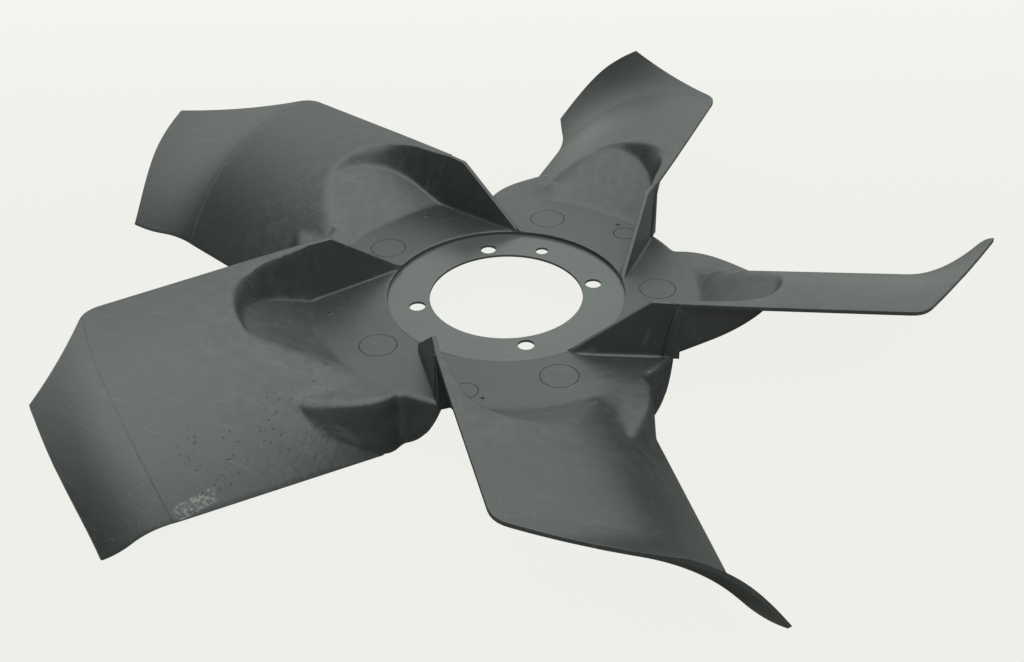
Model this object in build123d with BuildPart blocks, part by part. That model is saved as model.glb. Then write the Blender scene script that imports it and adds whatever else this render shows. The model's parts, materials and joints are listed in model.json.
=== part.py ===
# Axial cooling fan impeller: a five-bladed moulding cast around a steel mounting ring.
# Millimetres. The Z axis is the shaft axis, the front of the fan looks up, and z = 0 is
# the front face of the ring. Blade 0 points along +X and its leading edge lies at -Y.
import math
import os

from build123d import *

# ---- driving dimensions -------------------------------------------------------------
blade_count = 5
blade_pitch = 360 / blade_count

bore_r = 50.0
bolt_circle_r = 58.7
bolt_hole_r = 5.3
bolt_angles = [11.5, 101.5, 191.5, 281.5]
locating_hole_r = 4.3
locating_circle_r = 59.8
locating_angle = 65.4

ring_outer_r = 92.0
ring_thickness = 1.6

wall = 2.9                 # the moulding is close to one wall thickness all over
lip_r = 77.5               # inner edge of the moulding, where the ring comes out
collar_grip = 6.0          # how far the collar reaches out beyond the ring's edge
collar_r = ring_outer_r + collar_grip
collar_back_z = -4.4
hub_top_z = 2.0
hub_r = 125.0              # where the flat hub ends and the blades rise and fall
disc_r = 118.0
root_step = 0.12           # the blade roots stand this much below the disc's skin

# blade: one cambered section along a slightly swept line
chord_reach = 91.0         # from the pitch line to the leading edge
chord_total = 128.2
leading_z = 40.6
sweep = 0.1
pitch_line_x = 260.0
camber_linear = 17.0
camber_cubic = 53.0
twist_drop = 0.035

# tip that curls forward
tip_r = 309.0
curl_start_r = 258.0
curl_end_r = 314.0
curl_height = 28.5
leading_corner_x = tip_r - 2.1
trailing_corner_x = tip_r - 3.8

# pocket behind the leading edge: a cone that rises from the hub, with a drafted wall
cone_slope = 0.53
foot_centre = (125.0, -21.7)
foot_r = 46.5
wall_slope_root = 8.0
wall_slope_end = 1.7

# wedge on the trailing side, which carries the hub's face out along the blade
wedge_start_x = 115.0
wedge_start_y = 48.0
wedge_fall = 0.0097
skirt_slope = 7.0
skirt_depth = 38.5

# rib that brings the leading edge down to the ring
rib_start_x = 34.0
rib_peak_x = 86.0
rib_end_x = 109.0
rib_peak_z = 40.2
rib_rise = 0.776
rib_half_width = 1.45


# ---- helpers ------------------------------------------------------------------------
def smooth_min(a, b, k):
    h = max(k - abs(a - b), 0.0) / k
    return min(a, b) - h * h * k / 4


def smooth_max(a, b, k):
    return -smooth_min(-a, -b, k)


def smooth_step(a, b, x):
    t = min(max((x - a) / (b - a), 0.0), 1.0)
    return t * t * (3 - 2 * t)


def mix(a, b, t):
    return a + (b - a) * t


def filleted_ramp(d, slope, r):
    """Height of a wall that leaves a flat floor at d = 0 through a fillet of radius r."""
    angle = math.atan(slope)
    tangent = r * math.tan(angle / 2)
    if d <= -tangent:
        return 0.0
    if d < tangent * math.cos(angle):
        return r - math.sqrt(max(r * r - (d + tangent) ** 2, 0.0))
    return slope * d


def path_point(points, blend, s):
    """Point at s (0..1 along the length) of a line through points with soft corners."""
    lengths = [math.dist(a, b) for a, b in zip(points, points[1:])]
    total = sum(lengths)
    where = s * total
    run = 0.0
    for i, length in enumerate(lengths):
        if where <= run + length or i == len(lengths) - 1:
            break
        run += length
    t = (where - run) / length
    x = mix(points[i][0], points[i + 1][0], t)
    y = mix(points[i][1], points[i + 1][1], t)
    for j in range(1, len(points) - 1):
        corner_at = sum(lengths[:j])
        off = where - corner_at
        reach = blend[j - 1]
        if abs(off) < reach:
            ax = (points[j - 1][0] - points[j][0]) / lengths[j - 1]
            ay = (points[j - 1][1] - points[j][1]) / lengths[j - 1]
            bx = (points[j + 1][0] - points[j][0]) / lengths[j]
            by = (points[j + 1][1] - points[j][1]) / lengths[j]
            q = (off + reach) / (2 * reach)
            x = points[j][0] + reach * (ax * (1 - q) ** 2 + bx * q ** 2)
            y = points[j][1] + reach * (ay * (1 - q) ** 2 + by * q ** 2)
    return x, y


# ---- the blade's skin as a height over the hub plane ----------------------------------
def blade_height(x, y):
    across = y + sweep * (x - pitch_line_x)
    s = (across + chord_reach) / chord_total
    z = leading_z - camber_linear * s - camber_cubic * max(s, 0.0) ** 3
    z -= twist_drop * max(pitch_line_x - x, 0.0) * max(s, 0.0) ** 2
    r = math.hypot(x, y)
    return z + curl_height * smooth_step(curl_start_r, curl_end_r, r)


def foot_distance(x, y):
    """Plan distance beyond the pocket's foot line, positive towards the leading edge."""
    cx, cy = foot_centre
    if x < cx:
        return cy - foot_r - y
    if y > cy:
        return x - cx - foot_r
    return math.hypot(x - cx, y - cy) - foot_r


def rim_distance(x, y):
    """Plan distance outside the rim of the hub disc and its wedge."""
    run = x - wedge_start_x
    fall = -2 * wedge_fall * run
    along = (y - wedge_start_y + wedge_fall * run * run) / math.hypot(1, fall)
    return smooth_min(math.hypot(x, y) - hub_r, along, 3.0)


def side_shift(inset, slope):
    """How far a wall's back face lies beside its front face, over and above its floor's."""
    return inset * (math.hypot(1, slope) - 1) / slope


def skin_height(x, y, inset):
    """Height of the skin; inset = 0 is the front face, inset = wall is the back face."""
    r = math.hypot(x, y)
    ease = smooth_step(108.0, 165.0, x)
    steep = mix(wall_slope_root, wall_slope_end, ease)
    blade = blade_height(x, y)
    tilt = camber_linear / chord_total
    s = (y + sweep * (x - pitch_line_x) + chord_reach) / chord_total
    tilt += 3 * camber_cubic / chord_total * max(s, 0.0) ** 2
    blade -= inset * math.hypot(1, min(tilt, 1.3))
    floor = hub_top_z - root_step - inset
    cone = floor + cone_slope * filleted_ramp(r - hub_r, 1.0, 6.0)
    foot_fillet = mix(3.5, 9.0, ease) + inset
    beyond = foot_distance(x, y) - side_shift(inset, steep)
    pocket = cone + filleted_ramp(beyond, steep, foot_fillet)
    leading = smooth_min(blade, pocket, mix(1.6, 9.0, ease) + 0.5 * inset)
    skirt_fillet = 4.5 - 0.8 * inset
    outside = rim_distance(x, y) + side_shift(inset, skirt_slope)
    skirt = floor - filleted_ramp(outside, skirt_slope, skirt_fillet)
    return smooth_max(leading, skirt, 2.0)


# ---- outline of the blade in plan ------------------------------------------------------
leading_path = [(104.5, -76.1), (140.0, -80.2), (245.5, -89.7), (leading_corner_x, -13.8)]
trailing_path = [(130.6, 51.7), (272.0, 36.2), (trailing_corner_x, 48.8)]
skirt_start_x = 98.1


def leading_point(u):
    return path_point(leading_path, [15.0, 9.0], u)


def skirt_edge(w, inset):
    """Bottom edge of the skirt between the next blade's rib (w = 0) and the trailing edge."""
    x = mix(skirt_start_x, trailing_path[0][0], w)
    depth = mix(3.0 + inset, skirt_depth, 1 - (1 - w) ** 2)
    reach = (depth - inset) / skirt_slope - side_shift(inset, skirt_slope)
    low, high = 30.0, 95.0
    for _ in range(40):
        y = (low + high) / 2
        if rim_distance(x, y) < reach:
            low = y
        else:
            high = y
    return x, y


def trailing_point(u, inset):
    if u < 0:
        return skirt_edge(1 + u, inset)
    x, y = path_point(trailing_path, [14.0], u)
    return x, y - 0.9 * inset


def section_point(u_lead, u_trail, t, inset):
    ax, ay = leading_point(u_lead)
    bx, by = trailing_point(u_trail, inset)
    x, y = mix(ax, bx, t), mix(ay, by, t)
    bulge = smooth_step(0.86, 1.0, u_lead)
    chord = 4 * t * (1 - t)
    grow = 1 + bulge * chord * (tip_r / math.hypot(x, y) - 1)
    return x * grow, y * grow


def stations(groups):
    """Positions 0..1 from (share, count) groups, each group evenly divided."""
    values = [0.0]
    start = 0.0
    for share, count in groups:
        values += [start + share * (i + 1) / count for i in range(count)]
        start += share
    return [v / start for v in values]


def skin_grid(inset):
    rows = []
    lead_at = stations([(16, 10), (40, 16), (92, 20), (84, 26)])
    trail_at = [i / 16 - 1 for i in range(16)] + stations([(34, 12), (104, 20), (38, 24)])
    for i, u_lead in enumerate(lead_at):
        u_trail = trail_at[i]
        near = 1 - smooth_step(0.12, 0.42, u_lead)
        wall_top = mix(0.10, 0.045, near)
        foot = mix(0.20, 0.105, near)
        rim = mix(0.80, 0.86, near)
        cuts = [0.0, wall_top, foot, rim, 1.0]
        counts = [4, 9, 22, 13]
        row = []
        for c, count in enumerate(counts):
            for j in range(count):
                t = mix(cuts[c], cuts[c + 1], j / count)
                row.append(section_point(u_lead, u_trail, t, inset))
        row.append(section_point(u_lead, u_trail, 1.0, inset))
        rows.append([(x, y, skin_height(x, y, inset)) for x, y in row])
    return rows


# ---- build: one blade and its rib ------------------------------------------------------
def chord_positions(row):
    """Positions 0..1 of a row's points along the row."""
    steps = [math.dist(a, b) for a, b in zip(row, row[1:])]
    return [sum(steps[:i]) / sum(steps) for i in range(len(row))]


def section_wire(front_row, back_row, positions):
    front = Edge.make_spline([Vector(*p) for p in front_row], parameters=positions)
    back = Edge.make_spline([Vector(*p) for p in back_row], parameters=positions)
    rear_edge = Edge.make_line(front @ 1, back @ 1)
    lead_edge = Edge.make_line(back @ 0, front @ 0)
    return Wire([front, rear_edge, back, lead_edge])


def end_cap(faces, row):
    """Ruled face that closes the loft at the end where this grid row lies."""
    middle = Vector(*row[len(row) // 2])
    skins = sorted(faces, key=lambda face: -face.area)[:2]
    front, back = [min(skin.edges(), key=lambda e: e.distance_to(middle)) for skin in skins]
    if ((front @ 0) - (back @ 0)).length > ((front @ 0) - (back @ 1)).length:
        back = back.reversed()
    return Face.make_surface_from_curves(front, back)


def make_blade():
    front = skin_grid(0.0)
    back = skin_grid(wall)
    chosen = list(range(0, len(front), 2))
    near, far = chord_positions(front[16]), chord_positions(front[48])
    positions = [mix(a, b, 0.4) for a, b in zip(near, far)]
    wires = [section_wire(front[i], back[i], positions) for i in chosen]
    faces = list(Solid.make_loft(wires, False).faces())
    caps = [end_cap(faces, front[0]), end_cap(faces, front[chosen[-1]])]
    return Solid(Shell(faces + caps))


def rib_profile(x):
    """Corners of the rib's cross-section at x, as (y, z) from the pocket side outwards."""
    middle = -68.3 - 0.083 * (x - 37.8)
    half = rib_half_width - 0.2 * smooth_step(rib_peak_x, rib_end_x, x)
    top = min(hub_top_z + 0.6 + rib_rise * max(x - 37.8, 0.0), rib_peak_z)
    floor = hub_top_z - 0.35
    inner_foot = -66.0 - 0.037 * (x - 45.0)
    outer_foot = mix(middle - half - 1.0, -71.0, smooth_step(94.0, rib_end_x, x))
    return [(inner_foot, floor), (middle + half, top), (middle - half, top), (outer_foot, floor)]


def along(a, b, distance):
    share = distance / math.dist(a, b)
    return mix(a[0], b[0], share), mix(a[1], b[1], share)


rib_stations = [rib_start_x, 37.8, rib_peak_x, 94.0, 102.0, rib_end_x]

with BuildPart() as rib:
    for x in rib_stations:
        inner_foot, inner_top, outer_top, outer_foot = rib_profile(x)
        reach = min(3.0, 0.5 * (inner_top[1] - inner_foot[1]))
        inner_floor = (inner_foot[0] + reach, inner_foot[1])
        outer_floor = (outer_foot[0] - reach, outer_foot[1])
        inner_wall = along(inner_foot, inner_top, reach)
        outer_wall = along(outer_foot, outer_top, reach)
        with BuildSketch(Plane.YZ.offset(x)):
            with BuildLine():
                Polyline(outer_floor, (outer_floor[0], 0.4), (inner_floor[0], 0.4), inner_floor)
                Bezier(inner_floor, inner_foot, inner_wall)
                Polyline(inner_wall, inner_top, outer_top, outer_wall)
                Bezier(outer_wall, outer_foot, outer_floor)
            make_face()
    loft(ruled=True)
    with BuildSketch():
        Circle(lip_r + 0.3)
    extrude(amount=hub_top_z + 10, mode=Mode.SUBTRACT)

# ---- steel ring: bore, four bolt holes and a smaller locating hole ----------------------
with BuildPart() as mounting_ring:
    with BuildSketch(Plane.XY.offset(-ring_thickness)):
        Circle(ring_outer_r)
        Circle(bore_r, mode=Mode.SUBTRACT)
        for angle in bolt_angles:
            with PolarLocations(bolt_circle_r, 1, start_angle=angle):
                Circle(bolt_hole_r, mode=Mode.SUBTRACT)
        with PolarLocations(locating_circle_r, 1, start_angle=locating_angle):
            Circle(locating_hole_r, mode=Mode.SUBTRACT)
    extrude(amount=ring_thickness)

# ---- moulding: hub disc, collar round the ring, five blades -----------------------------
with BuildPart() as hub:
    with BuildSketch(Plane.XY.offset(hub_top_z - wall)):
        Circle(disc_r)
    extrude(amount=wall)
    with BuildSketch(Plane.XY.offset(collar_back_z)):
        Circle(collar_r)
    extrude(amount=hub_top_z - collar_back_z - wall / 2)
    with BuildSketch(Plane.XY.offset(collar_back_z - 1)):
        Circle(lip_r)
    extrude(amount=20, mode=Mode.SUBTRACT)
    with BuildSketch(Plane.XY.offset(-ring_thickness)):
        Circle(ring_outer_r)
    extrude(amount=ring_thickness, mode=Mode.SUBTRACT)

moulded = hub.part
for piece in [rib.part, make_blade()]:
    for i in range(blade_count):
        moulded = moulded + piece.rotate(Axis.Z, i * blade_pitch)

with BuildPart() as impeller_moulding:
    add(moulded)

# ---- save --------------------------------------------------------------------------------
os.makedirs("parts", exist_ok=True)
for name, piece in [("impeller_moulding", impeller_moulding), ("mounting_ring", mounting_ring)]:
    piece.part.label = name
    print(name, piece.part.is_valid, piece.part.volume, len(piece.part.solids()))
    export_step(piece.part, f"parts/{name}.step")
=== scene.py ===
# Five-bladed cooling fan impeller: one black moulding round a coated steel ring.
# Metres. Z is the shaft, blade 0 points along +X and its leading edge lies at -Y.
import json
import math

import bmesh
import bpy
from mathutils import Matrix, Vector

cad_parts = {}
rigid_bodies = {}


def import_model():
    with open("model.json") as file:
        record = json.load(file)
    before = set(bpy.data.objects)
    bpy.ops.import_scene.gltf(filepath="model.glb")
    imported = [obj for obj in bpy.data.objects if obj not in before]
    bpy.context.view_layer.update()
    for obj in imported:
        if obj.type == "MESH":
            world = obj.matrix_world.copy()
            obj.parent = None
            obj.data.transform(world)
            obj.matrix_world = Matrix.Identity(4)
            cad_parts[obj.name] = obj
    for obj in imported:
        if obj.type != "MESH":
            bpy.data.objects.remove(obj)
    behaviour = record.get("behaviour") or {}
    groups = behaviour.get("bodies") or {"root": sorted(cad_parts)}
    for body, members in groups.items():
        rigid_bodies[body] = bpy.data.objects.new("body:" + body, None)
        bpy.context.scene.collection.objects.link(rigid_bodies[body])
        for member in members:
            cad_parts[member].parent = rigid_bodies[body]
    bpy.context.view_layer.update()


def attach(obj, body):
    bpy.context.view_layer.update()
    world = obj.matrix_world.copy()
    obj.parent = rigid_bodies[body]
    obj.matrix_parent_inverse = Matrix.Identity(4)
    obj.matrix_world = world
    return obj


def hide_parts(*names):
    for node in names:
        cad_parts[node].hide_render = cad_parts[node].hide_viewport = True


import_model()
mm = 0.001
bladeCount = 5
bladePitch = math.radians(360 / bladeCount)


def clearSelection():
    if bpy.context.object and bpy.context.object.mode != "OBJECT":
        bpy.ops.object.mode_set(mode="OBJECT")
    bpy.ops.object.select_all(action="DESELECT")


def select(*objects):
    clearSelection()
    for piece in objects:
        piece.select_set(True)
    bpy.context.view_layer.objects.active = objects[-1]


def mix(a, b, t):
    return a + (b - a) * t


# Point t of the way from a to b in plan.
def mixPoint(a, b, t):
    return mix(a[0], b[0], t), mix(a[1], b[1], t)


def smoothStep(a, b, x):
    t = min(max((x - a) / (b - a), 0.0), 1.0)
    return t * t * (3 - 2 * t)


# The lower of two heights, with the corner where they cross eased over k.
def smoothMin(a, b, k):
    h = max(k - abs(a - b), 0.0) / k
    return min(a, b) - h * h * k / 4


# Where the camera stands: metres, degrees and millimetres of lens.
cameraView = {"distance": 0.91959, "elevation": 32.960, "pan": 0.2095, "tilt": -1.4840,
              "roll": 1.0160, "lens": 49.494, "sensor": 36, "nearest": 0.01}


def placeCamera(view):
    e = math.radians(view["elevation"])
    eye = Vector((0, -view["distance"] * math.cos(e), view["distance"] * math.sin(e)))
    forward = -eye.normalized()
    right = Vector((1, 0, 0))
    look = Matrix((right, right.cross(forward), forward))
    pan, tilt, roll = (math.radians(view[k]) for k in ("pan", "tilt", "roll"))
    turnPan = Matrix(((math.cos(pan), 0, -math.sin(pan)), (0, 1, 0),
                      (math.sin(pan), 0, math.cos(pan))))
    turnTilt = Matrix(((1, 0, 0), (0, math.cos(tilt), -math.sin(tilt)),
                       (0, math.sin(tilt), math.cos(tilt))))
    turnRoll = Matrix(((math.cos(roll), -math.sin(roll), 0),
                       (math.sin(roll), math.cos(roll), 0), (0, 0, 1)))
    axes = turnRoll @ turnTilt @ turnPan @ look
    bpy.ops.object.camera_add()
    camera = bpy.context.object
    camera.matrix_world = Matrix((axes[0], axes[1], -axes[2])).transposed().to_4x4()
    camera.location = eye
    camera.data.lens = view["lens"]
    camera.data.sensor_width = view["sensor"]
    camera.data.clip_start = view["nearest"]
    bpy.context.scene.camera = camera
    print("camera placed", [round(v, 4) for v in eye])


clearSelection()
for name in ("Cube", "Light", "Camera"):                  # what a new file holds
    if name in bpy.data.objects:
        bpy.data.objects.remove(bpy.data.objects[name])
placeCamera(cameraView)

# One blade with its share of the hub. Lengths here are in millimetres over the hub's plane and
# are scaled at the end; a blade's paths give the plan of its two long edges.
blade = {"wall": 2.9, "hubTop": 2.0, "hubR": 125.0, "chordReach": 91.0, "chord": 128.2,
         "leadingZ": 40.6, "sweep": 0.1, "pitchX": 260.0, "camberLinear": 17.0,
         "camberCubic": 53.0, "twist": 0.035, "steepest": 1.3, "curlStart": 257.0,
         "curlHeight": 31.3, "tipR": 309.0, "tipArc": (0.86, 1.0), "backEdge": 0.9,
         "edgeRound": 0.45, "edgeSteps": 3, "edgeAngle": 55.0, "edgeFromR": 127.0}
leadingPath = [(101.0, -76.1), (140.0, -80.2), (245.5, -89.7), (306.9, -13.8)]
leadingSoftness = [15.0, 9.0]
trailingPath = [(130.6, 51.7), (272.0, 36.2), (305.2, 48.8)]
trailingSoftness = [14.0]

# Pocket behind the leading edge: a cone from the hub, closed by a drafted wall.
pocket = {"cone": 0.53, "coneEase": 2.5, "foot": (125.0, -21.7), "footR": 46.5, "footEase": 2.6,
          "wallSlope": 8.0, "wallSlopeEnd": 1.7, "slopeX": (108.0, 165.0),
          "shoulderX": (108.0, 132.0), "fadeX": (150.0, 174.0), "fade": 0.55, "topEase": 1.8,
          "shoulderEase": 5.0, "shoulderReach": 5.0, "backEase": 0.4}

# Wedge that carries the hub's face out along the blade, and the skirt below its rim.
wedge = {"start": (117.0, 49.5), "fall": 0.0125, "corner": 3.0, "slope": 10.0, "slopeEnd": 2.2,
         "slopeX": (132.0, 168.0), "rimEase": (4.0, 7.0), "backEase": 0.8, "footEase": 1.6,
         "skirtX": 101.4, "skirtTop": 3.0, "skirtDepth": 38.5, "skirtBow": 2.9,
         "searchY": (30.0, 95.0), "searchSteps": 40}
lip = {"r": 77.5, "round": 0.7, "start": (36.8, -68.2), "end": (100.2, -73.7), "bow": 1.5}


# Height of a slope that leaves flat ground at d = 0 through a fillet of radius r.
def filletedRamp(d, slope, r):
    angle = math.atan(slope)
    tangent = r * math.tan(angle / 2)
    if d <= -tangent:
        return 0.0
    if d < tangent * math.cos(angle):
        return r - math.sqrt(max(r * r - (d + tangent) ** 2, 0.0))
    return slope * d


# How far across the blade a point lies: 0 at the leading edge, 1 at the trailing edge.
def chordShare(x, y):
    return (y + blade["sweep"] * (x - blade["pitchX"]) + blade["chordReach"]) / blade["chord"]


# Plain cambered blade with its curled tip; inset is the depth below the front skin.
def bladeSkin(x, y, inset):
    s = max(chordShare(x, y), 0.0)
    z = blade["leadingZ"] - blade["camberLinear"] * chordShare(x, y) - blade["camberCubic"] * s ** 3
    z -= blade["twist"] * max(blade["pitchX"] - x, 0.0) * s ** 2
    outward = math.hypot(x, y) - blade["curlStart"]
    curl = (max(outward, 0.0) / (blade["tipR"] - blade["curlStart"])) ** 2
    tilt = (blade["camberLinear"] + 3 * blade["camberCubic"] * s ** 2) / blade["chord"]
    return z + blade["curlHeight"] * curl - inset * math.hypot(1, min(tilt, blade["steepest"]))


# How far a wall's back lies beside its front, beyond its floor's.
def sideShift(inset, slope):
    return inset * (math.hypot(1, slope) - 1) / slope


# Plan distance beyond the pocket's foot line.
def footDistance(x, y):
    cx, cy = pocket["foot"]
    if x < cx:
        return cy - pocket["footR"] - y
    if y > cy:
        return x - cx - pocket["footR"]
    return math.hypot(x - cx, y - cy) - pocket["footR"]


# Plan distance outside the rim of the hub and its wedge.
def rimDistance(x, y):
    startX, startY = wedge["start"]
    run = x - startX
    fall = wedge["fall"]
    along = (y - startY + fall * run * run) / math.hypot(1, 2 * fall * run)
    return smoothMin(math.hypot(x, y) - blade["hubR"], along, wedge["corner"])


def wallSteepness(x):
    return mix(pocket["wallSlope"], pocket["wallSlopeEnd"], smoothStep(*pocket["slopeX"], x))


def skirtSteepness(x):
    return mix(wedge["slope"], wedge["slopeEnd"], smoothStep(*wedge["slopeX"], x))


def pocketHeight(x, y, inset):
    rise = filletedRamp(math.hypot(x, y) - blade["hubR"], 1.0, pocket["coneEase"])
    steep = wallSteepness(x)
    beyond = footDistance(x, y) - sideShift(inset, steep)
    wall = filletedRamp(beyond, steep, pocket["footEase"] + inset)
    return blade["hubTop"] - inset + pocket["cone"] * rise + wall


def skirtHeight(x, y, inset):
    steep = skirtSteepness(x)
    outside = rimDistance(x, y) + sideShift(inset, steep)
    rounding = mix(*wedge["rimEase"], smoothStep(*wedge["slopeX"], x))
    rounding -= wedge["backEase"] * inset
    return blade["hubTop"] - inset - filletedRamp(outside, steep, rounding)


# Height of a skin of the moulding: inset 0 is the front, inset of one wall is the back.
def skinHeight(x, y, inset):
    beyond = footDistance(x, y) - sideShift(inset, wallSteepness(x))
    fade = pocket["fade"] * smoothStep(*pocket["fadeX"], x)
    shoulder = smoothStep(*pocket["shoulderX"], x) * (1 - fade)
    shoulder *= smoothStep(0.0, pocket["shoulderReach"], beyond)
    blend = pocket["topEase"] + pocket["shoulderEase"] * shoulder + pocket["backEase"] * inset
    leading = smoothMin(bladeSkin(x, y, inset), pocketHeight(x, y, inset), blend)
    z = -smoothMin(-leading, -skirtHeight(x, y, inset), wedge["footEase"])
    lipGap = lip["r"] + lip["round"] - math.hypot(x, y)
    if inset == 0 and lipGap > 0:                         # rounded lip over the ring
        z -= lip["round"] - math.sqrt(max(lip["round"] ** 2 - lipGap ** 2, 0.0))
    return z


# Point at s (0 to 1) of a line through points with soft corners.
def pathPoint(points, softness, s):
    lengths = [math.dist(a, b) for a, b in zip(points, points[1:])]
    where, run = s * sum(lengths), 0.0
    for i, length in enumerate(lengths):
        if where <= run + length or i == len(lengths) - 1:
            break
        run += length
    t = (where - run) / length
    x, y = mixPoint(points[i], points[i + 1], t)
    for j in range(1, len(points) - 1):
        off, reach = where - sum(lengths[:j]), softness[j - 1]
        if abs(off) < reach:
            before = [(points[j - 1][a] - points[j][a]) / lengths[j - 1] for a in (0, 1)]
            after = [(points[j + 1][a] - points[j][a]) / lengths[j] for a in (0, 1)]
            q = (off + reach) / (2 * reach)
            x, y = (points[j][a] + reach * (before[a] * (1 - q) ** 2 + after[a] * q ** 2)
                    for a in (0, 1))
    return x, y


# Bottom edge of the skirt, from the next blade's rib out to the trailing edge.
def skirtEdge(w, inset):
    x = mix(wedge["skirtX"], trailingPath[0][0], w)
    share = 1 - (1 - w) ** wedge["skirtBow"]
    depth = mix(wedge["skirtTop"] + inset, wedge["skirtDepth"], share)
    reach = (depth - inset) / wedge["slope"] - sideShift(inset, wedge["slope"])
    low, high = wedge["searchY"]
    for _ in range(wedge["searchSteps"]):
        y = (low + high) / 2
        if rimDistance(x, y) < reach:
            low = y
        else:
            high = y
    return x, y


# Positions 0 to 1 from groups of a share and a count, each group evenly divided.
def stations(groups):
    values, start = [0.0], 0.0
    for share, count in groups:
        values += [start + share * (i + 1) / count for i in range(count)]
        start += share
    return [v / start for v in values]


def turned(x, y, angle):
    c, s = math.cos(angle), math.sin(angle)
    return c * x - s * y, s * x + c * y


# Rows run from the lip over the hub and out along the blade; leadRows and trailRows place
# their two ends, and trailRows below 0 lie on the skirt's edge.
hubRows = [0.0, 0.004, 0.008, 0.014, 0.08, 0.18, 0.3, 0.42, 0.54, 0.66, 0.78, 0.88, 0.95]
leadRows = stations([(18, 14), (38, 26), (22, 16), (70, 20), (84, 30)])
skirtRows = 20
trailRows = [i / skirtRows - 1 for i in range(skirtRows)]
trailRows += stations([(34, 20), (25, 16), (79, 20), (38, 30)])


# Both ends of a row, and how far it bows out to the lip's circle or the tip's.
def sectionEnds(row, inset):
    if row < len(hubRows):
        s = hubRows[row]
        start = mixPoint(lip["start"], lip["end"], s)
        return start, turned(*start, bladePitch), (1 - s) ** lip["bow"], 0.0
    lead, trail = leadRows[row - len(hubRows)], trailRows[row - len(hubRows)]
    if trail < 0:
        end = skirtEdge(1 + trail, inset)
    else:
        x, y = pathPoint(trailingPath, trailingSoftness, trail)
        end = (x, y - blade["backEdge"] * inset)
    start = pathPoint(leadingPath, leadingSoftness, lead)
    return start, end, 0.0, smoothStep(*blade["tipArc"], lead)


def sectionPoint(ends, t):
    start, end, hubBow, tipBow = ends
    x, y = mixPoint(start, end, t)
    r = math.hypot(x, y)
    grow = 1 + tipBow * 4 * t * (1 - t) * (blade["tipR"] / r - 1)
    grow += hubBow * (math.hypot(*start) / r - 1)
    return x * grow, y * grow


# Where the lines of the mesh lie across a row; past the creases they run straight on.
meshLines = {"top": 0.1, "foot": 0.2, "rim": 0.745, "wallEnd": 0.84, "hubTop": 0.4,
             "hubFoot": 0.03, "hubRim": 0.97, "creaseX": 120.0, "wallEndX": 160.0,
             "plainFootX": (138.0, 171.0), "plainRimX": (164.0, 190.0),
             "wallEaseX": (131.0, 150.0), "floorEaseX": (115.0, 165.0), "floorGap": (4.0, 10.0),
             "beforeTop": (0.8, 0.55), "afterTop": (0.5, 0.4), "beforeRim": 5.0,
             "afterRim": (0.8, 0.3), "midWall": 0.55, "afterWall": 1.0,
             "footSearch": 0.6, "rimSearch": 0.4, "searchSteps": 30}


# Where a value that falls from low to high passes zero, if it does.
def crossing(value, low, high):
    if value(low) <= 0 or value(high) >= 0:
        return None
    for _ in range(meshLines["searchSteps"]):
        middle = (low + high) / 2
        if value(middle) > 0:
            low = middle
        else:
            high = middle
    return (low + high) / 2


# Positions along a row that keep the mesh's lines on the creases.
def sectionCuts(ends, inset):
    def spot(t):
        return sectionPoint(ends, t)

    def pastFoot(t):
        x, y = spot(t)
        return footDistance(x, y) - sideShift(inset, wallSteepness(x))

    def belowBlade(t):
        return pocketHeight(*spot(t), inset) - bladeSkin(*spot(t), inset)

    def insideRim(t):
        return -rimDistance(*spot(t)) - sideShift(inset, skirtSteepness(spot(t)[0]))

    def aboveBlade(t):
        return skirtHeight(*spot(t), inset) - bladeSkin(*spot(t), inset)

    lines = meshLines
    x = spot(0.5)[0]
    outer = x > lines["creaseX"]
    length = math.dist(spot(0.0), spot(1.0))
    foot = crossing(pastFoot, 0.0, lines["footSearch"])
    top = foot and crossing(belowBlade, 0.0, foot)
    rim = crossing(insideRim, lines["rimSearch"], 1.0)
    wallEnd = rim and crossing(aboveBlade, rim, 1.0)

    plain = smoothStep(*lines["plainFootX"], x)
    foot = mix(foot or (lines["foot"] if outer else lines["hubFoot"]), lines["foot"], plain)
    top = mix(top or (lines["top"] if outer else lines["hubTop"] * foot), lines["top"], plain)
    plain = smoothStep(*lines["plainRimX"], x)
    rim = mix(rim or (lines["rim"] if outer else lines["hubRim"]), lines["rim"], plain)

    gap, share = lines["afterRim"]
    wallStart = min(rim + gap / length, mix(rim, 1.0, share))
    wallEnd = mix(wallEnd or (lines["wallEnd"] if x > lines["wallEndX"] else 1.0),
                  lines["wallEnd"], plain)
    wallEnd = mix(mix(rim, 1.0, lines["midWall"]), wallEnd + lines["afterWall"] / length,
                  smoothStep(*lines["wallEaseX"], x))
    floorStart = foot + mix(*lines["floorGap"], smoothStep(*lines["floorEaseX"], x)) / length
    gap, share = lines["beforeTop"]
    topStart = max(top - gap / length, share * top)
    gap, share = lines["afterTop"]
    topEnd = min(top + gap / length, mix(top, foot, share))
    return [0.0, topStart, topEnd, foot, floorStart, rim - lines["beforeRim"] / length,
            wallStart, wallEnd, 1.0]


cutCounts = [3, 4, 7, 8, 16, 9, 10, 8]
floorEase = 0.7 / (2 * math.pi)                           # closer lines at both ends of a floor


def spread(count):
    ease = floorEase if count == max(cutCounts) else 0.0
    return [j / count - ease * math.sin(2 * math.pi * j / count) for j in range(count)]


def sheetPoints(inset):
    rows = []
    for row in range(len(hubRows) + len(leadRows)):
        ends = sectionEnds(row, inset)
        cuts = sectionCuts(ends, inset)
        line = []
        for start, end, count in zip(cuts, cuts[1:], cutCounts):
            line += [sectionPoint(ends, mix(start, end, q)) for q in spread(count)]
        line.append(sectionPoint(ends, 1.0))
        rows.append([(x * mm, y * mm, skinHeight(x, y, inset) * mm) for x, y in line])
    return rows


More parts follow.
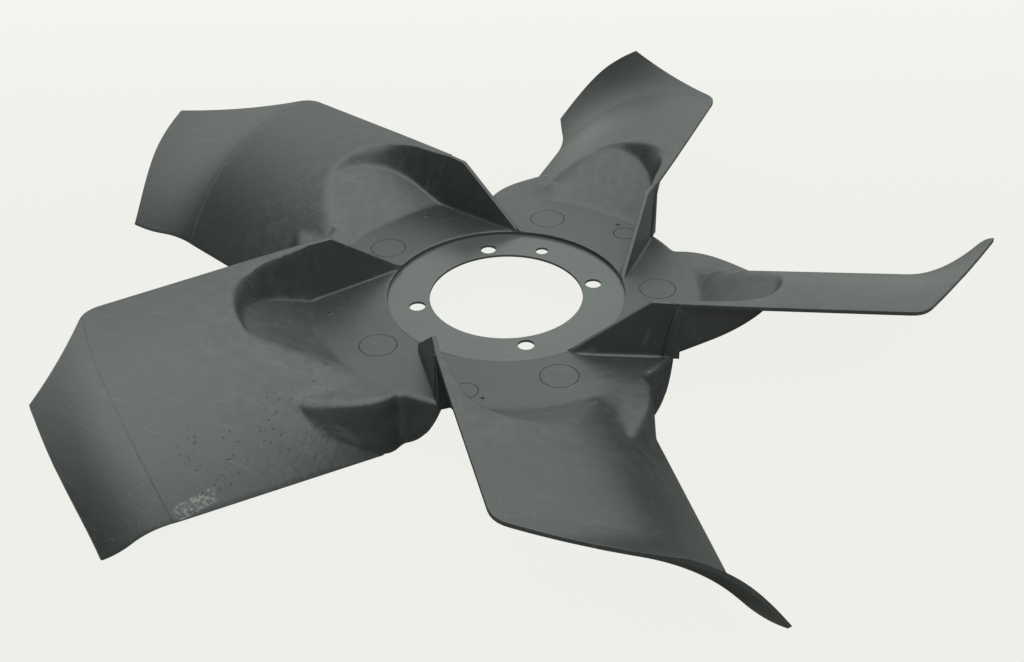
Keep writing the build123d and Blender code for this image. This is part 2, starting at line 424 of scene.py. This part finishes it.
# A grid whose rows are drawn out to the given rows of points.
def makeGrid(rows):
    across, along = len(rows[0]) - 1, len(rows) - 1
    clearSelection()
    bpy.ops.mesh.primitive_grid_add(x_subdivisions=across, y_subdivisions=along, size=1)
    sheet = bpy.context.object
    for vertex in sheet.data.vertices:
        column = round((vertex.co.x + 0.5) * across)
        row = round((vertex.co.y + 0.5) * along)
        vertex.co = rows[row][column]
    return sheet


# Selects the faces of the mesh in edit mode whose middle and normal pass the test.
def selectFaces(test):
    mesh = bmesh.from_edit_mesh(bpy.context.object.data)
    for face in mesh.faces:
        face.select_set(test(face.calc_center_median(), face.normal))
    mesh.select_flush_mode()
    bmesh.update_edit_mesh(bpy.context.object.data)


def selectEdges(test):
    mesh = bmesh.from_edit_mesh(bpy.context.object.data)
    for edge in mesh.edges:
        edge.select_set(test(edge))
    bmesh.update_edit_mesh(bpy.context.object.data)


def outerCorner(edge):
    if len(edge.link_faces) != 2 or edge.calc_face_angle() < math.radians(blade["edgeAngle"]):
        return False
    reach = min(math.hypot(v.co.x, v.co.y) for v in edge.verts)
    return reach > blade["edgeFromR"] * mm


# Front and back skins bridged round their edge, which is then eased.
def makeBlade():
    front, back = makeGrid(sheetPoints(0.0)), makeGrid(sheetPoints(blade["wall"]))
    select(back, front)
    bpy.ops.object.join()
    piece = bpy.context.object
    bpy.ops.object.mode_set(mode="EDIT")
    bpy.ops.mesh.select_mode(type="EDGE")
    bpy.ops.mesh.select_all(action="DESELECT")
    bpy.ops.mesh.select_non_manifold()
    bpy.ops.mesh.bridge_edge_loops()
    bpy.ops.mesh.select_all(action="SELECT")
    bpy.ops.mesh.normals_make_consistent(inside=False)
    selectEdges(outerCorner)
    bpy.ops.mesh.bevel(offset=blade["edgeRound"] * mm, segments=blade["edgeSteps"],
                       clamp_overlap=False)
    bpy.ops.object.mode_set(mode="OBJECT")
    return piece


# Rib that brings the leading edge down to the ring; a line is a y, a slope and a start in x.
rib = {"startX": 34.0, "riseX": 37.8, "peakX": 86.0, "joinX": 101.0, "endX": 104.5,
       "peakZ": 40.4, "startHeight": 0.6, "rise": 0.776, "half": 1.45, "joinHalf": 0.1,
       "line": (-68.3, -0.083, 37.8), "joinLine": (-76.1, -0.105, 101.0), "joinIn": 0.1,
       "footLine": (-66.0, -0.037, 45.0), "footDraft": 1.0, "sunk": 0.35, "footR": 3.0,
       "footOut": 0.01, "topR": 0.5, "footMost": 0.5, "topMost": 0.3, "bottomZ": 0.6,
       "footPoints": 7, "topPoints": 5, "steps": 48,
       "lipGap": 0.3, "cutFaces": 192, "cutHeight": 0.03, "cutMiddle": 0.0151}


# Points of a soft corner from a to b.
def bend(a, corner, b, count):
    points = []
    for i in range(count):
        q = i / (count - 1)
        points.append(tuple((1 - q) ** 2 * a[k] + 2 * q * (1 - q) * corner[k] + q * q * b[k]
                            for k in (0, 1)))
    return points


def towards(a, b, distance):
    return mixPoint(a, b, distance / math.dist(a, b))


# Closed section of a rib, from the pocket side over its top to the outer side.
def ribSection(x):
    def lineY(name):
        y, slope, startX = rib[name]
        return y + slope * (x - startX)

    join = smoothStep(rib["peakX"], rib["joinX"], x)
    middle = mix(lineY("line"), lineY("joinLine") + rib["half"] + rib["joinIn"], join)
    half = rib["half"] - rib["joinHalf"] * join
    floor = blade["hubTop"] - rib["sunk"]
    lowest = blade["hubTop"] + rib["startHeight"]
    top = min(lowest + rib["rise"] * max(x - rib["riseX"], 0.0), rib["peakZ"])
    innerFoot = (lineY("footLine"), floor)
    outerFoot = (middle - half - mix(rib["footDraft"], 0.0, join), floor)
    innerTop, outerTop = (middle + half, top), (middle - half, top)
    reach = min(rib["footR"], rib["footMost"] * (top - floor))
    ease = min(rib["topR"], rib["topMost"] * (top - floor))
    inside = innerFoot[0] + reach
    outside = outerFoot[0] - reach * (1 - join) - rib["footOut"]
    feet, tops = rib["footPoints"], rib["topPoints"]
    points = [(inside, rib["bottomZ"])]
    points += bend((inside, floor), innerFoot, towards(innerFoot, innerTop, reach), feet)
    points += bend(towards(innerTop, innerFoot, ease), innerTop,
                   towards(innerTop, outerTop, ease), tops)
    points += bend(towards(outerTop, innerTop, ease), outerTop,
                   towards(outerTop, outerFoot, ease), tops)
    points += bend(towards(outerFoot, outerTop, reach), outerFoot, (outside, floor), feet)
    return points + [(outside, rib["bottomZ"])]


# One rib, closed at both ends and cut back to the lip's circle.
def makeRib():
    rows = []
    for i in range(rib["steps"] + 1):
        x = mix(rib["startX"], rib["endX"], i / rib["steps"])
        section = ribSection(x)
        rows.append([(x * mm, y * mm, z * mm) for y, z in section + section[:1]])
    piece = makeGrid(rows)
    bpy.ops.object.mode_set(mode="EDIT")
    bpy.ops.mesh.select_all(action="SELECT")
    bpy.ops.mesh.remove_doubles(threshold=0.001 * mm)
    bpy.ops.mesh.fill_holes(sides=0)
    bpy.ops.mesh.select_all(action="SELECT")
    bpy.ops.mesh.normals_make_consistent(inside=False)
    bpy.ops.object.mode_set(mode="OBJECT")
    bpy.ops.mesh.primitive_cylinder_add(vertices=rib["cutFaces"],
                                        radius=(lip["r"] + rib["lipGap"]) * mm,
                                        depth=rib["cutHeight"],
                                        location=(0, 0, rib["cutMiddle"]))
    cutBy(piece, bpy.context.object)
    return piece


# Takes the tool's shape away from the piece.
def cutBy(piece, tool):
    select(piece)
    cut = piece.modifiers.new("cut", "BOOLEAN")
    cut.operation = "DIFFERENCE"
    cut.object = tool
    bpy.ops.object.modifier_apply(modifier=cut.name)
    bpy.data.objects.remove(tool)


# Collar that grips the ring, in millimetres.
collar = {"outerR": 98.0, "ringR": 92.0, "backZ": -4.4, "topZ": 1.0, "ringBackZ": -1.6,
          "edgeRound": 0.6, "edgeSteps": 3, "faces": 192}


# A thick disc with a seat sunk for the ring and its middle taken out.
def makeCollar():
    clearSelection()
    depth = collar["topZ"] - collar["backZ"]
    bpy.ops.mesh.primitive_cylinder_add(vertices=collar["faces"], radius=collar["outerR"] * mm,
                                        depth=depth * mm,
                                        location=(0, 0, (collar["topZ"] - depth / 2) * mm))
    piece = bpy.context.object
    bpy.ops.object.transform_apply(location=True)
    bpy.ops.object.mode_set(mode="EDIT")
    bpy.ops.mesh.select_mode(type="FACE")
    selectFaces(lambda c, n: n.z > 0.9)
    bpy.ops.mesh.inset(thickness=(collar["outerR"] - collar["ringR"]) * mm)
    bpy.ops.mesh.extrude_region_move(
        TRANSFORM_OT_translate={"value": (0, 0, (collar["ringBackZ"] - collar["topZ"]) * mm)})
    bpy.ops.mesh.inset(thickness=(collar["ringR"] - lip["r"]) * mm)
    bpy.ops.mesh.delete(type="FACE")
    selectFaces(lambda c, n: n.z < -0.9 and c.xy.length < mm)
    bpy.ops.mesh.inset(thickness=(collar["outerR"] - lip["r"]) * mm)
    bpy.ops.mesh.delete(type="FACE")
    bpy.ops.mesh.select_mode(type="EDGE")
    bpy.ops.mesh.select_all(action="DESELECT")
    bpy.ops.mesh.select_non_manifold()
    bpy.ops.mesh.bridge_edge_loops()
    selectEdges(lambda edge: all(v.co.z < (collar["backZ"] + 0.1) * mm for v in edge.verts)
                and edge.calc_face_angle(0) > 1)
    bpy.ops.mesh.bevel(offset=collar["edgeRound"] * mm, segments=collar["edgeSteps"])
    bpy.ops.mesh.select_all(action="SELECT")
    bpy.ops.mesh.normals_make_consistent(inside=False)
    bpy.ops.object.mode_set(mode="OBJECT")
    return piece


# Small moulded marks: a gate pip on the hub and a bead on each blade's front wall.
gatePip = {"r": 115.2, "angle": -25.35, "pipR": 2.5, "height": 0.5, "nubR": 1.0, "nub": 1.5,
           "sunk": 0.5, "round": 0.2, "faces": 32}
bead = {"top": (101.7, -76.0, 38.6), "foot": (94.2, -75.2, 2.5), "r": 0.9, "round": 0.25,
        "faces": 20}


def pointAt(radius, degrees):
    angle = math.radians(degrees)
    return radius * math.cos(angle) * mm, radius * math.sin(angle) * mm


# Eases the edges of the end faces of a short round bar.
def roundEnds(piece, reach, test):
    select(piece)
    bpy.ops.object.transform_apply(location=True, rotation=True)
    bpy.ops.object.mode_set(mode="EDIT")
    bpy.ops.mesh.select_mode(type="FACE")
    selectFaces(test)
    bpy.ops.mesh.bevel(offset=reach * mm, segments=2)
    bpy.ops.object.mode_set(mode="OBJECT")
    return piece


# Low round pad on the hub with a broken-off nub at its middle.
def makePip():
    x, y = pointAt(gatePip["r"], gatePip["angle"])
    base = (blade["hubTop"] - gatePip["sunk"]) * mm
    parts = []
    for radius, height in ((gatePip["pipR"], gatePip["height"]), (gatePip["nubR"], gatePip["nub"])):
        depth = (height + gatePip["sunk"]) * mm
        clearSelection()
        bpy.ops.mesh.primitive_cylinder_add(vertices=gatePip["faces"], radius=radius * mm,
                                            depth=depth, location=(x, y, base + depth / 2))
        parts.append(roundEnds(bpy.context.object, gatePip["round"], lambda c, n: n.z > 0.9))
    return parts


# Half-sunk bead down the outside of the leading edge's wall, where the rib ends.
def makeBead():
    top, foot = Vector(bead["top"]) * mm, Vector(bead["foot"]) * mm
    clearSelection()
    bpy.ops.mesh.primitive_cylinder_add(vertices=bead["faces"], radius=bead["r"] * mm,
                                        depth=(top - foot).length, location=(top + foot) / 2,
                                        rotation=(top - foot).to_track_quat("Z", "Y").to_euler())
    return roundEnds(bpy.context.object, bead["round"], lambda c, n: abs(n.z) > 0.9)


# Five copies of a piece, one at each blade, each with its own mesh.
def repeatRound(piece):
    copies = [piece]
    for i in range(1, bladeCount):
        select(piece)
        bpy.ops.object.duplicate()
        turn = bpy.context.object
        turn.rotation_euler.z = i * bladePitch
        bpy.ops.object.transform_apply(rotation=True)
        copies.append(turn)
    return copies


smoothAngle = 38
oneBlade = makeBlade()
print("blade made", len(oneBlade.data.polygons), "faces")
pieces = repeatRound(oneBlade) + repeatRound(makeRib()) + [makeCollar()]
for part in makePip() + [makeBead()]:
    pieces += repeatRound(part)
select(*pieces)
bpy.ops.object.join()
moulding = bpy.context.object
moulding.name = "mouldingSkin"
bpy.ops.object.shade_smooth_by_angle(angle=math.radians(smoothAngle))
print("moulding joined", len(moulding.data.polygons), "faces")

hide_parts("impeller_moulding")
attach(moulding, "root")

# Links a socket to a node's output, or sets its own value.
def feed(tree, socket, value):
    if isinstance(value, bpy.types.NodeSocket):
        tree.links.new(value, socket)
    else:
        socket.default_value = value


# Adds a node; i0, i1 name its sockets by number, other words by name.
def addNode(tree, kind, **inputs):
    node = tree.nodes.new(kind)
    for key, value in inputs.items():
        if key[0] == "i" and key[1:].isdigit():
            feed(tree, node.inputs[int(key[1:])], value)
        else:
            feed(tree, node.inputs[key.replace("_", " ")], value)
    return node


def maths(tree, operation, *values):
    node = addNode(tree, "ShaderNodeMath", **{f"i{n}": value for n, value in enumerate(values)})
    node.operation = operation
    return node.outputs[0]


def times(tree, a, b):
    return maths(tree, "MULTIPLY", a, b)


def plus(tree, a, b):
    return maths(tree, "ADD", a, b)


def strongest(tree, masks):
    best = masks[0]
    for mask in masks[1:]:
        best = maths(tree, "MAXIMUM", best, mask)
    return best


# Soft step of a value, from bottom at low to top at high.
def ramp(tree, value, low, high, bottom=0.0, top=1.0):
    node = addNode(tree, "ShaderNodeMapRange", Value=value, From_Min=low, From_Max=high,
                   To_Min=bottom, To_Max=top)
    node.interpolation_type = "SMOOTHSTEP"
    return node.outputs["Result"]


def noise(tree, place, scale, detail=2.0, rough=0.5):
    node = addNode(tree, "ShaderNodeTexNoise", Vector=place, Scale=scale, Detail=detail,
                   Roughness=rough)
    return node.outputs[0]


def mixColour(tree, share, a, b):
    node = tree.nodes.new("ShaderNodeMix")
    node.data_type = "RGBA"
    for socket, value in zip((node.inputs[0], node.inputs[6], node.inputs[7]), (share, a, b)):
        feed(tree, socket, value)
    return node.outputs[2]


def objectPlace(tree):
    return addNode(tree, "ShaderNodeTexCoord").outputs["Object"]


def axesOf(tree, place):
    return addNode(tree, "ShaderNodeSeparateXYZ", Vector=place).outputs


def newGroup(name, inputs, outputs):
    group = bpy.data.node_groups.new(name, "ShaderNodeTree")
    for label, kind in inputs:
        group.interface.new_socket(label, in_out="INPUT", socket_type=kind)
    for label, kind in outputs:
        group.interface.new_socket(label, in_out="OUTPUT", socket_type=kind)
    return group, group.nodes.new("NodeGroupInput"), group.nodes.new("NodeGroupOutput")


def useGroup(tree, group, **inputs):
    node = tree.nodes.new("ShaderNodeGroup")
    node.node_tree = group
    for key, value in inputs.items():
        feed(tree, node.inputs[key], value)
    return node


# Turns every blade's surface onto blade 0, so that a mark is placed once for all five.
def makeFoldGroup():
    group, _, result = newGroup("bladeFold", [], [("Spot", "NodeSocketVector"),
                                                  ("Radius", "NodeSocketFloat"),
                                                  ("Turn", "NodeSocketFloat")])
    x, y, z = axesOf(group, objectPlace(group))
    radius = maths(group, "SQRT", plus(group, times(group, x, x), times(group, y, y)))
    angle = maths(group, "ARCTAN2", y, x)
    turn = maths(group, "ROUND", maths(group, "DIVIDE", angle, bladePitch))
    own = maths(group, "SUBTRACT", angle, times(group, turn, bladePitch))
    spot = addNode(group, "ShaderNodeCombineXYZ",
                   X=times(group, radius, maths(group, "COSINE", own)),
                   Y=times(group, radius, maths(group, "SINE", own)), Z=z).outputs[0]
    for label, value in (("Spot", spot), ("Radius", radius), ("Turn", turn)):
        group.links.new(value, result.inputs[label])
    return group


handling = {"speckScale": 620.0, "speckAt": (0.7, 0.8), "patchScale": 26.0,
            "patchAt": (0.42, 0.66), "hairs": ((0.5, 34.0), (1.9, 41.0), (2.6, 29.0)),
            "hairStretch": 24.0, "hairAt": (0.735, 0.76), "cloudScale": 14.0}


# Masks of handling: pale dust specks, fine hairline scratches and cloudy smears.
def makeWearGroup():
    group, given, result = newGroup(
        "handlingWear", [("Dust", "NodeSocketFloat"), ("Scratch", "NodeSocketFloat")],
        [("Dust", "NodeSocketFloat"), ("Scratch", "NodeSocketFloat"), ("Cloud", "NodeSocketFloat")])
    place = objectPlace(group)
    specks = ramp(group, noise(group, place, handling["speckScale"], 1.0), *handling["speckAt"])
    patches = ramp(group, noise(group, place, handling["patchScale"], 3.0), *handling["patchAt"])
    dust = times(group, times(group, specks, patches), given.outputs["Dust"])
    hairs = []
    for turn, scale in handling["hairs"]:
        along = addNode(group, "ShaderNodeMapping", Vector=place, Rotation=(0, 0, turn),
                        Scale=(1.0, handling["hairStretch"], 1.0)).outputs[0]
        hairs.append(ramp(group, noise(group, along, scale, 1.0, 0.3), *handling["hairAt"]))
    scratch = times(group, strongest(group, hairs), given.outputs["Scratch"])
    cloud = noise(group, place, handling["cloudScale"], 4.0, 0.6)
    for label, value in (("Dust", dust), ("Scratch", scratch), ("Cloud", cloud)):
        group.links.new(value, result.inputs[label])
    return group


# Soft line where a value passes a level; its core is fully drawn.
def lineAt(tree, value, at, width, core=0.3):
    off = maths(tree, "ABSOLUTE", maths(tree, "SUBTRACT", value, at))
    return ramp(tree, off, core * width, width, 1.0, 0.0)


# Thin circle on the hub's face, as a mould's ejector leaves it.
def circleLine(tree, spot, centre, radius, width):
    gap = addNode(tree, "ShaderNodeVectorMath", i0=spot, i1=(*centre, blade["hubTop"] * mm))
    gap.operation = "DISTANCE"
    return lineAt(tree, gap.outputs["Value"], radius, width, 0.35)


bladeFold, handlingWear = makeFoldGroup(), makeWearGroup()

# Finish of the plastic. Scales are noise scales, a pair named At is where a mask starts and
# is full, slopeFrom and slopeTo are radii in metres, and a mark is the radius and angle of its
# centre and its own radius in millimetres.
plastic = {"colour": (0.0195, 0.0235, 0.0225, 1), "pale": (0.044, 0.051, 0.048, 1),
           "dust": (0.26, 0.27, 0.25, 1), "markColour": (0.004, 0.005, 0.005, 1),
           "pitColour": (0.006, 0.007, 0.007, 1), "gloss": 1.0, "wear": (0.6, 0.1),
           "tone": {"mottle": 0.25, "slopeMottle": 0.5, "cloud": 0.3, "marks": 0.9,
                    "scuff": 0.65, "pits": 0.7},
           "rough": {"base": 0.34, "cloud": 0.1, "slope": 0.06, "dust": 0.3, "marks": 0.5},
           "relief": {"peel": 0.12, "slopePeel": 0.3, "grain": 0.03, "marks": 1.1, "seam": 0.4,
                      "pits": 0.5, "strength": 0.5, "depth": 0.001},
           "slopeFrom": (0.1235, 0.128), "slopeTo": (0.185, 0.225),
           "mottleScale": 120.0, "mottleAt": (0.35, 0.7), "peelScale": 260.0,
           "grainScale": 1500.0, "scuffScale": 420.0, "scuffAt": (0.4, 0.62),
           "pitScale": 380.0, "pitAt": (0.66, 0.74), "seamR": 0.2622, "seamWidth": 0.55,
           "scuff": {"turn": -2.0, "x": 244.0, "y": 35.2, "halfX": 13.0, "halfY": 2.8},
           "pitted": {"turn": -2.0, "x": 190.0, "y": 20.0, "halfX": 55.0, "halfY": 18.0},
           "patchEdge": (0.75, 1.1), "markWidth": 0.42,
           "marks": ((98.8, 0.2, 11.75), (109.7, -31.1, 7.5))}

# Finish of the ring.
coat = {"colour": (0.052, 0.06, 0.056, 1), "pale": (0.085, 0.095, 0.088, 1), "cloud": 0.7,
        "wear": (0.7, 0.12), "gloss": 1.0, "roughness": 0.15, "roughCloud": 0.12,
        "grainScale": 700.0, "relief": 0.08, "depth": 0.001}


# Soft-edged patch of one blade, given in blade 0's place.
def patchMask(tree, fold, patch):
    x, y, _ = axesOf(tree, fold.outputs["Spot"])
    mask = lineAt(tree, fold.outputs["Turn"], patch["turn"], 0.5)
    inner, outer = plastic["patchEdge"]
    for axis, middle, half in ((x, patch["x"], patch["halfX"]), (y, patch["y"], patch["halfY"])):
        off = maths(tree, "ABSOLUTE", maths(tree, "SUBTRACT", axis, middle * mm))
        mask = times(tree, mask, ramp(tree, off, half * inner * mm, half * outer * mm, 1.0, 0.0))
    return mask


# A new material, its node tree, its shader, its places and its masks of wear.
def newFinish(name, finish):
    material = bpy.data.materials.new(name)
    material.use_nodes = True
    tree = material.node_tree
    shader = tree.nodes["Principled BSDF"]
    shader.inputs["Specular IOR Level"].default_value = finish["gloss"]
    dust, scratch = finish["wear"]
    worn = useGroup(tree, handlingWear, Dust=dust, Scratch=scratch).outputs
    return material, tree, shader, objectPlace(tree), worn


def addDust(tree, colour, worn):
    for mask in ("Scratch", "Dust"):
        colour = mixColour(tree, worn[mask], colour, plastic["dust"])
    return colour


def addBump(tree, shader, height, strength, depth):
    bump = addNode(tree, "ShaderNodeBump", Height=height, Strength=strength, Distance=depth)
    tree.links.new(bump.outputs[0], shader.inputs["Normal"])


def plasticMaterial():
    material, tree, shader, place, worn = newFinish("blackPlastic", plastic)
    fold = useGroup(tree, bladeFold)
    spot, radius = fold.outputs["Spot"], fold.outputs["Radius"]
    marks = strongest(tree, [circleLine(tree, spot, pointAt(r, angle), markR * mm,
                                        plastic["markWidth"] * mm)
                             for r, angle, markR in plastic["marks"]])
    seam = lineAt(tree, radius, plastic["seamR"], plastic["seamWidth"] * mm)
    slope = times(tree, ramp(tree, radius, *plastic["slopeFrom"]),
                  maths(tree, "SUBTRACT", 1.0, ramp(tree, radius, *plastic["slopeTo"])))
    mottle = ramp(tree, noise(tree, place, plastic["mottleScale"], 3.0, 0.6),
                  *plastic["mottleAt"])
    scuff = times(tree, patchMask(tree, fold, plastic["scuff"]),
                  ramp(tree, noise(tree, place, plastic["scuffScale"], 3.0, 0.7),
                       *plastic["scuffAt"]))
    pits = times(tree, patchMask(tree, fold, plastic["pitted"]),
                 ramp(tree, noise(tree, place, plastic["pitScale"], 1.0), *plastic["pitAt"]))

    tone = plastic["tone"]
    mottle = times(tree, mottle, plus(tree, tone["mottle"],
                                      times(tree, slope, tone["slopeMottle"])))
    colour = mixColour(tree, mottle, plastic["colour"], plastic["pale"])
    colour = mixColour(tree, times(tree, worn["Cloud"], tone["cloud"]), colour, plastic["pale"])
    colour = addDust(tree, colour, worn)
    for mask, share, stain in ((marks, tone["marks"], plastic["markColour"]),
                               (scuff, tone["scuff"], plastic["dust"]),
                               (pits, tone["pits"], plastic["pitColour"])):
        colour = mixColour(tree, times(tree, mask, share), colour, stain)
    tree.links.new(colour, shader.inputs["Base Color"])

    rough = plastic["rough"]
    level = rough["base"]
    for mask, share in ((worn["Cloud"], rough["cloud"]), (slope, rough["slope"]),
                        (worn["Dust"], rough["dust"]), (marks, rough["marks"])):
        level = plus(tree, level, times(tree, mask, share))
    tree.links.new(level, shader.inputs["Roughness"])

    relief = plastic["relief"]
    peel = noise(tree, place, plastic["peelScale"], 2.0, 0.55)
    grain = noise(tree, place, plastic["grainScale"], 1.0)
    height = times(tree, peel, plus(tree, relief["peel"], times(tree, slope, relief["slopePeel"])))
    height = plus(tree, height, times(tree, grain, relief["grain"]))
    height = maths(tree, "SUBTRACT", height, times(tree, marks, relief["marks"]))
    height = plus(tree, height, times(tree, seam, relief["seam"]))
    height = maths(tree, "SUBTRACT", height, times(tree, pits, relief["pits"]))
    addBump(tree, shader, height, relief["strength"], relief["depth"])
    return material


# Steel under a smooth coat of the same grey black.
def ringMaterial():
    material, tree, shader, place, worn = newFinish("coatedSteel", coat)
    colour = mixColour(tree, times(tree, worn["Cloud"], coat["cloud"]), coat["colour"],
                       coat["pale"])
    tree.links.new(addDust(tree, colour, worn), shader.inputs["Base Color"])
    rough = plus(tree, coat["roughness"], times(tree, worn["Cloud"], coat["roughCloud"]))
    tree.links.new(rough, shader.inputs["Roughness"])
    addBump(tree, shader, noise(tree, place, coat["grainScale"]), coat["relief"], coat["depth"])
    return material


moulding.data.materials.clear()
moulding.data.materials.append(plasticMaterial())
for node in bpy.data.objects:
    if node.name.startswith("mounting_ring"):
        node.data.materials.clear()
        node.data.materials.append(ringMaterial())
print("finishes ready")

# Floor, light and backdrop; skySide and skyFront lean the light to one side and forward. The
# floor's lit tone is painted shade, dark in front of and under the moulding.
studio = {"floorZ": -0.0372, "floorSize": 12.0, "paper": (0.913, 0.913, 0.871),
          "floorShadeTone": (0.22, 0.22, 0.21, 1), "floorShadeAt": (0.1, 0.9), "shadow": 0.07,
          "roomTint": (0.945, 1.0, 0.965, 1), "skyLevel": 1.8, "skyAt": (0.42, 0.95),
          "skySide": 0.17, "skyFront": -0.28, "backAt": (0.35, 0.8), "lowLevel": 0.08,
          "backLevel": 0.85}


# How much of what the camera sees is plain paper, and nothing for other rays.
def cameraShare(tree, most):
    path = addNode(tree, "ShaderNodeLightPath")
    return times(tree, path.outputs["Is Camera Ray"], most)


# Mixes what the room sees with what the camera sees, and puts it out.
def finishTree(tree, most, room, seen, output, socket):
    both = addNode(tree, "ShaderNodeMixShader", i0=cameraShare(tree, most), i1=room.outputs[0],
                   i2=seen.outputs[0])
    tree.links.new(both.outputs[0], addNode(tree, output).inputs[socket])


def paperMaterial():
    material = bpy.data.materials.new("paperFloor")
    material.use_nodes = True
    tree = material.node_tree
    tree.nodes.clear()
    # Painted shade: the lit floor is dark in front of and under the moulding and pales behind it,
    # so its bounce light and its reflections on the moulding come out darker.
    far = ramp(tree, axesOf(tree, objectPlace(tree))[1], *studio["floorShadeAt"])
    paper = (*studio["paper"], 1)
    lit = addNode(tree, "ShaderNodeBsdfDiffuse",
                  Color=mixColour(tree, far, studio["floorShadeTone"], paper))
    glow = addNode(tree, "ShaderNodeEmission", Color=paper, Strength=1.0)
    finishTree(tree, 1.0 - studio["shadow"], lit, glow, "ShaderNodeOutputMaterial", "Surface")
    return material


# The room's light comes from above, leaning to the side and the front, and low from behind.
def makeWorld():
    world = bpy.data.worlds.new("softRoom")
    bpy.context.scene.world = world
    world.use_nodes = True
    tree = world.node_tree
    tree.nodes.clear()
    x, y, z = axesOf(tree, addNode(tree, "ShaderNodeTexCoord").outputs["Generated"])
    front = times(tree, maths(tree, "MINIMUM", y, 0.0), studio["skyFront"])
    lean = plus(tree, times(tree, x, studio["skySide"]), front)
    sky = ramp(tree, plus(tree, z, lean), *studio["skyAt"])
    back = ramp(tree, y, *studio["backAt"], studio["lowLevel"], studio["backLevel"])
    level = plus(tree, times(tree, sky, studio["skyLevel"]),
                 times(tree, maths(tree, "SUBTRACT", 1.0, sky), back))
    room = addNode(tree, "ShaderNodeBackground", Color=studio["roomTint"], Strength=level)
    seen = addNode(tree, "ShaderNodeBackground", Color=(*studio["paper"], 1), Strength=1.0)
    finishTree(tree, 1.0, room, seen, "ShaderNodeOutputWorld", "Surface")


def makeStudio():
    clearSelection()
    bpy.ops.mesh.primitive_plane_add(size=studio["floorSize"], location=(0, 0, studio["floorZ"]))
    floor = bpy.context.object
    floor.name = "paperFloor"
    floor.data.materials.append(paperMaterial())
    makeWorld()


makeStudio()
bpy.context.scene.view_settings.view_transform = "Standard"
print("studio ready")
